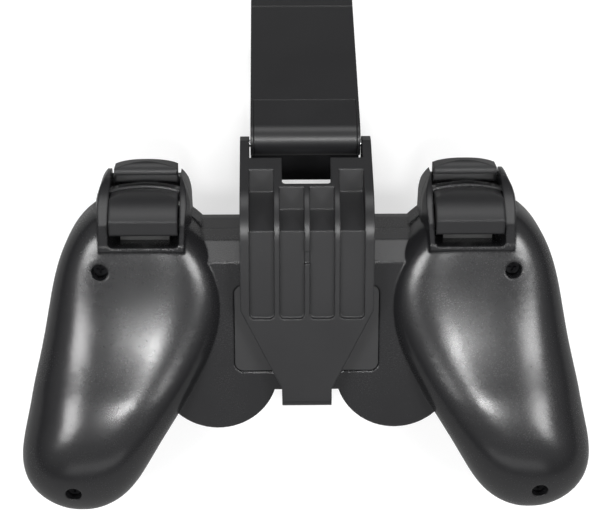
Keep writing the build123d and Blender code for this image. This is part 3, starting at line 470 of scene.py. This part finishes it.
for side in ("left", "right"):
    node = f"{side}_stick_return_spring"
    spring(node, f"{side}_stick_rocker", out_of_face, length=0.0017, radius=0.0033, turns=2.6)

inner_finish = moulded(
    "engineering_plastic",
    dark=(0.30, 0.30, 0.29),
    light=(0.38, 0.38, 0.37),
    roughness=0.45,
    grain=0.0005,
    depth=0.000008,
    edge=0.0002,
)
for side in ("left", "right"):
    dress(
        inner_finish,
        f"{side}_stick_rocker",
        f"{side}_stick_yoke",
        f"{side}_stick_spring_seat",
        f"{side}_stick_shaft",
        f"{side}_stick_sensors",
    )
dress(inner_finish, "dpad_pivot")

# Shoulder buttons
# Bumpers and triggers are moulded in the same charcoal ABS with a coarser grain for grip; their colour is set
# darker than the housing's, which is painted shade.
# Each trigger turns on a steel pin, with a torsion spring wound of round wire about it.

shoulder_painted_shade_finish = moulded(
    "grained_shoulder_painted_shade",
    # Darker than the housing's colours: painted shade on the same ABS.
    dark=(0.008, 0.008, 0.009),
    light=(0.014, 0.014, 0.015),
    roughness=0.40,
    grain=0.00040,
    depth=0.00002,
    edge=0.0010,
)
dress(shoulder_painted_shade_finish, "left_bumper", "right_bumper", "left_trigger", "right_trigger")
along_pin = np.array((1.0, 0.0, 0.0))
for side in ("left", "right"):
    spring(f"{side}_trigger_spring", "root", along_pin, length=0.0072, radius=0.0021, turns=7.0)

# Phone holder
# The bracket is one moulding of tough black nylon, darker and more matt than the pad. The arm, the
# hinge leaf and the jaws are of the same material, with soft pads where the phone touches.

bracket_finish = moulded(
    "black_nylon",
    dark=(0.010, 0.010, 0.011),
    light=(0.015, 0.015, 0.016),
    roughness=0.36,
    grain=0.0003,
    depth=0.000008,
    edge=0.0006,
)
dress(bracket_finish, "phone_bracket", "holder_plate", "hinge_leaf", "slide_jaw")
along_arm = np.array((0.0, 0.81786, -0.57543))
spring("clamp_spring", "phone_holder", along_arm, length=0.0056, radius=0.0018, turns=6.0)

pad_finish = moulded(
    "soft_pad",
    dark=(0.030, 0.030, 0.032),
    light=(0.042, 0.042, 0.044),
    roughness=0.75,
    grain=0.0006,
    depth=0.00003,
    edge=0.0004,
)
pads = ("bracket_pads", "phone_rest_pad", "lower_jaw_pad", "upper_jaw_pad")
dress(pad_finish, *pads)

# Floor
# A white sheet that reads as plain white in the view and still takes a soft shadow. What the pad mirrors
# shows it at a quarter of its strength, as a darker room would leave it.

reach = 3.0
floor_mesh = bpy.data.meshes.new("floor")
floor_mesh.from_pydata(
    [(-reach, -reach, 0.0), (reach, -reach, 0.0), (reach, reach, 0.0), (-reach, reach, 0.0)],
    [],
    [(0, 1, 2, 3)],
)
floor = bpy.data.objects.new("floor", floor_mesh)
bpy.context.scene.collection.objects.link(floor)
floor_finish = Finish("white_sweep")
floor_finish.set(Base_Color=(0.55, 0.55, 0.55, 1.0), Roughness=0.9, Specular_IOR_Level=0.0)
seen = floor_finish.node("ShaderNodeLightPath", output="Is Camera Ray")
mirrored = floor_finish.node("ShaderNodeLightPath", output="Is Glossy Ray")
through = floor_finish.node("ShaderNodeLightPath", output="Is Transmission Ray")
shown = seen + through + mirrored * 0.25
glow = floor_finish.node("ShaderNodeEmission", {}, {"Color": (1.0, 1.0, 1.0, 1.0), "Strength": 0.52})
dim = floor_finish.node("ShaderNodeBsdfDiffuse", {}, {"Color": (0.08, 0.08, 0.08, 1.0)})
plain = Reading(floor_finish, floor_finish.shader.outputs[0])
both = floor_finish.node("ShaderNodeAddShader", {}, {0: plain, 1: glow})
floor_finish.give(
    floor_finish.surface.inputs[0],
    floor_finish.node("ShaderNodeMixShader", {}, {0: shown, 1: dim, 2: both}),
)
floor_mesh.materials.append(floor_finish.material)

# Lamps and room
# Two wide strips hang above the grips and a small bright box above the middle. A large dim box stands
# beyond the far edge and a card near the tips. The room gives even light from above, less near the floor.

lamp_distance = 1.3
lamps_aim_at = np.array((0.0, 0.0, 0.03))


def soft_box(name, direction, width, height, radiance):
    """A rectangular lamp that faces the pad. Its power is radiance times area times pi."""
    lamp = bpy.data.lights.new(name, "AREA")
    lamp.shape = "RECTANGLE"
    lamp.size, lamp.size_y = width, height
    lamp.energy = radiance * width * height * math.pi
    away = np.array(direction) / np.linalg.norm(direction)
    side = np.cross((0.0, 1.0, 0.001), away)
    side /= np.linalg.norm(side)
    turned = np.eye(4)
    turned[:3, 0], turned[:3, 1], turned[:3, 2] = side, np.cross(away, side), away
    turned[:3, 3] = lamps_aim_at + lamp_distance * away
    box = bpy.data.objects.new(name, lamp)
    bpy.context.scene.collection.objects.link(box)
    box.matrix_world = Matrix(turned.tolist())


soft_box("left_strip", (-0.53, -0.31, 0.79), width=0.36, height=0.42, radiance=17.0)
soft_box("right_strip", (0.53, -0.31, 0.79), width=0.36, height=0.42, radiance=17.0)
soft_box("middle_soft_box", (0.0, -0.40, 0.917), width=0.13, height=0.16, radiance=80.0)
soft_box("far_soft_box", (0.0, 0.68, 0.74), width=1.6, height=0.6, radiance=2.2)
soft_box("near_card", (0.0, -0.96, 0.28), width=0.9, height=0.3, radiance=1.2)

world = bpy.data.worlds.new("room")
bpy.context.scene.world = world
world.use_nodes = True
room = world.node_tree
sky = room.nodes["Background"]
sky.inputs["Color"].default_value = (1.0, 1.0, 1.0, 1.0)
aim = room.nodes.new("ShaderNodeTexCoord")
height = room.nodes.new("ShaderNodeSeparateXYZ")
level = room.nodes.new("ShaderNodeMapRange")
level.interpolation_type = "SMOOTHSTEP"
for name, value in {"From Min": 0.05, "From Max": 0.60, "To Min": 0.03, "To Max": 0.36}.items():
    level.inputs[name].default_value = value
room.links.new(aim.outputs["Generated"], height.inputs[0])
room.links.new(height.outputs["Z"], level.inputs["Value"])
room.links.new(level.outputs[0], sky.inputs["Strength"])
bpy.context.scene.view_settings.view_transform = "Standard"
